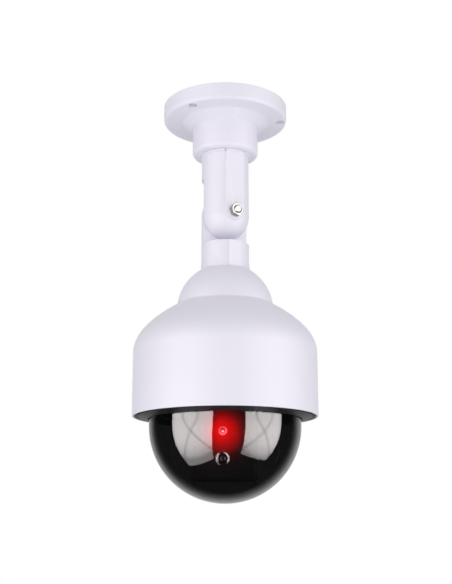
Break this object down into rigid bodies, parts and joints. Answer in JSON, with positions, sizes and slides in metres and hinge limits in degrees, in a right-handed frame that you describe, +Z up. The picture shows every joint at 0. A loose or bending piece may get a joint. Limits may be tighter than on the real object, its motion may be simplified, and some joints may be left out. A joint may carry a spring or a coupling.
{
  "type": "dome cctv camera",
  "caption": "Battery-powered dome security camera: bell-shaped housing with a smoked dome, hung from a round ceiling flange by a swivelling, tilting two-piece arm.",
  "frame": {"origin": "centre of the ceiling flange's mounting face", "axes": "+Z up into the ceiling along the flange's axis; the camera's front, with its lens and red light, faces -Y; +X is to the right of someone facing it"},
  "size_m": [0.125, 0.125, 0.28],
  "materials": {
    "white_abs": "satin",
    "black_abs": "matte",
    "ring_abs": "satin",
    "smoked_acrylic": "gloss",
    "zinc_steel": "satin",
    "nickel_contacts": "satin",
    "chrome_trim": "polished",
    "lens_glass": "gloss",
    "red_led": "gloss",
    "board_laminate": "satin",
    "chip_resin": "matte",
    "capacitor_sleeve": "satin",
    "resistor_body": "satin",
    "cell_wrap": "satin",
    "red_wire": "satin",
    "black_wire": "satin"
  },
  "bodies": {
    "base": {"ceiling_flange": "white_abs"},
    "upper_link": {"upper_arm": "white_abs", "base_swivel_washer": "zinc_steel", "base_swivel_screw": "zinc_steel", "pivot_bolt": "zinc_steel", "pivot_washer": "zinc_steel", "pivot_nut": "zinc_steel"},
    "lower_link": {"lower_arm": "white_abs", "neck_swivel_washer": "zinc_steel", "neck_swivel_screw": "zinc_steel"},
    "dome_ring": {"retaining_ring": "ring_abs", "dome": "smoked_acrylic", "dome_screw_1": "zinc_steel", "dome_screw_2": "zinc_steel", "dome_screw_3": "zinc_steel", "dome_screw_4": "zinc_steel"},
    "door": {"battery_door": "black_abs"},
    "power": {"switch_slider": "white_abs"},
    "housing": {"neck_cap": "white_abs", "housing_shell": "white_abs", "chassis_plate": "black_abs", "camera_body": "black_abs", "battery_box": "black_abs", "switch_body": "black_abs", "neck_screw_1": "zinc_steel", "neck_screw_2": "zinc_steel", "neck_screw_3": "zinc_steel", "chassis_screw_1": "zinc_steel", "chassis_screw_2": "zinc_steel", "chassis_screw_3": "zinc_steel", "camera_screw_1": "zinc_steel", "camera_screw_2": "zinc_steel", "board_screw_1": "zinc_steel", "board_screw_2": "zinc_steel", "contact_link": "nickel_contacts", "contact_positive": "nickel_contacts", "contact_negative": "nickel_contacts", "battery_spring_1": "nickel_contacts", "battery_spring_2": "nickel_contacts", "lens_bezel": "chrome_trim", "lens_glass": "lens_glass", "led": "red_led", "circuit_board": "board_laminate", "flasher_chip": "chip_resin", "timing_capacitor": "capacitor_sleeve", "led_resistor": "resistor_body", "battery_1": "cell_wrap", "battery_2": "cell_wrap", "led_wire_red": "red_wire", "battery_wire_red": "red_wire", "switch_wire": "red_wire", "led_wire_black": "black_wire", "battery_wire_black": "black_wire"}
  },
  "joints": [
    {"name": "base_swivel", "type": "hinge", "parent": "base", "child": "upper_link", "pos_m": [0, 0, -0.0374], "axis": [0, 0, 1], "continuous": true},
    {"name": "arm_tilt", "type": "hinge", "parent": "upper_link", "child": "lower_link", "pos_m": [0, 0, -0.0825], "axis": [0.4664, -0.8846, 0], "range_deg": [-90, 90]},
    {"name": "housing_swivel", "type": "hinge", "parent": "lower_link", "child": "housing", "pos_m": [0, 0, -0.15025], "axis": [0, 0, 1], "continuous": true},
    {"name": "dome_twist", "type": "hinge", "parent": "housing", "child": "dome_ring", "pos_m": [0, 0, -0.22315], "axis": [0, 0, 1], "range_deg": [0, 20]},
    {"name": "battery_door_slide", "type": "slide", "parent": "housing", "child": "door", "axis": [0, 1, 0], "range_m": [0, 0.006]},
    {"name": "power_switch", "type": "slide", "parent": "housing", "child": "power", "axis": [1, 0, 0], "range_m": [0, 0.0025]}
  ]
}
